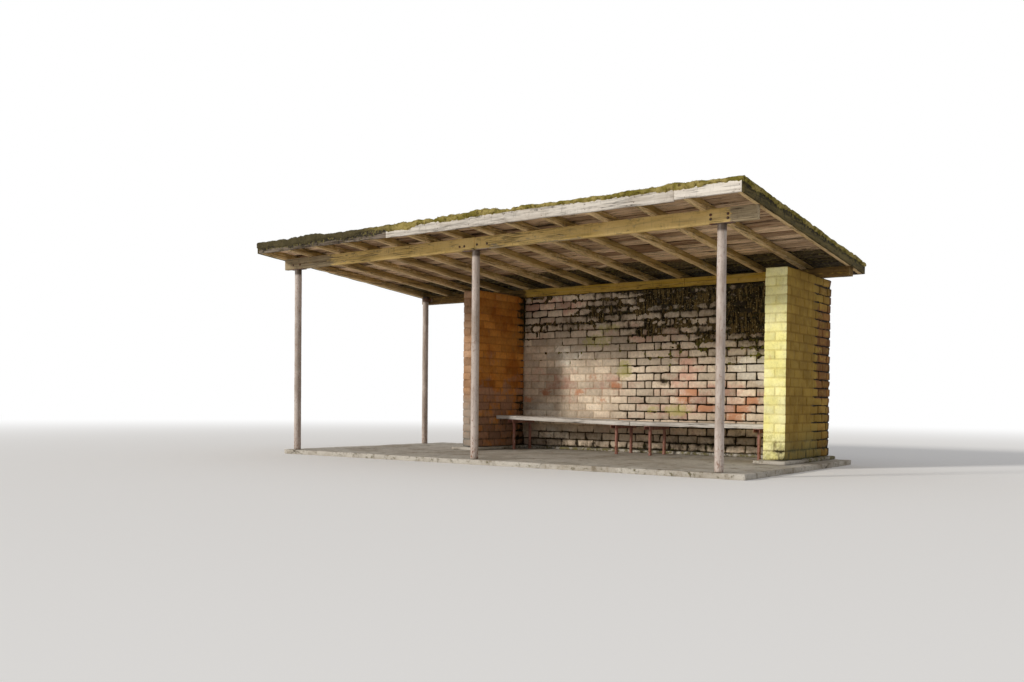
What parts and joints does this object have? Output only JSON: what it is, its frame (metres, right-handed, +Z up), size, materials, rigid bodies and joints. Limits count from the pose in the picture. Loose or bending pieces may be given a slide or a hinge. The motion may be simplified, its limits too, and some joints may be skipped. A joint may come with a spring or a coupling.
{
  "type": "bus shelter",
  "caption": "Open-fronted roadside waiting shelter: brick walls round three sides, steel pipe posts, a low-pitched timber lean-to roof and plank benches.",
  "frame": {"origin": "on the ground under the middle of the roof's outline", "axes": "+X along the shelter's length, from the open bay to the right wall; -Y to the open front; +Z up"},
  "size_m": [6.62, 3.59, 2.7039],
  "materials": {
    "concrete": "rough",
    "cream_brick": "worn limewash over brick",
    "orange_brick": "worn ochre paint over brick",
    "yellow_brick": "worn yellow paint over brick",
    "post_paint": "worn, with rust",
    "bracket_steel": "weathered",
    "ochre_timber": "worn ochre paint",
    "rafter_timber": "weathered stain",
    "board_timber": "bare sawn board",
    "mossy_felt": "bitumen felt under moss",
    "silver_timber": "bare silver-grey board",
    "mossy_timber": "dark, mossy board",
    "bench_timber": "bare silver-grey plank",
    "bench_paint": "worn red paint, with rust"
  },
  "bodies": {
    "root": {"floor_slab": "concrete", "wall_footing": "concrete", "back_wall": "cream_brick", "left_wall": "orange_brick", "right_wall": "yellow_brick", "post_front_left": "post_paint", "post_front_middle": "post_paint", "post_front_right": "post_paint", "post_rear_left": "post_paint", "bracket_front_left": "bracket_steel", "bracket_front_middle": "bracket_steel", "bracket_front_right": "bracket_steel", "bracket_rear_left": "bracket_steel", "front_beam_left": "ochre_timber", "front_beam_right": "ochre_timber", "rear_beam_left": "ochre_timber", "rear_beam_middle": "ochre_timber", "rear_beam_right": "ochre_timber", "rafter_01": "rafter_timber", "rafter_02": "rafter_timber", "rafter_03": "rafter_timber", "rafter_04": "rafter_timber", "rafter_05": "rafter_timber", "rafter_06": "rafter_timber", "rafter_07": "rafter_timber", "rafter_08": "rafter_timber", "rafter_09": "rafter_timber", "rafter_10": "rafter_timber", "rafter_11": "rafter_timber", "rafter_12": "rafter_timber", "rafter_13": "rafter_timber", "rafter_14": "rafter_timber", "roof_boards": "board_timber", "roof_felt": "mossy_felt", "fascia_left": "silver_timber", "fascia_middle": "silver_timber", "fascia_right": "silver_timber", "rear_edge_board": "silver_timber", "rake_board_left": "mossy_timber", "rake_board_right": "mossy_timber", "bench_left_seat": "bench_timber", "bench_right_seat": "bench_timber", "bench_left_frame": "bench_paint", "bench_right_frame": "bench_paint"}
  },
  "joints": []
}
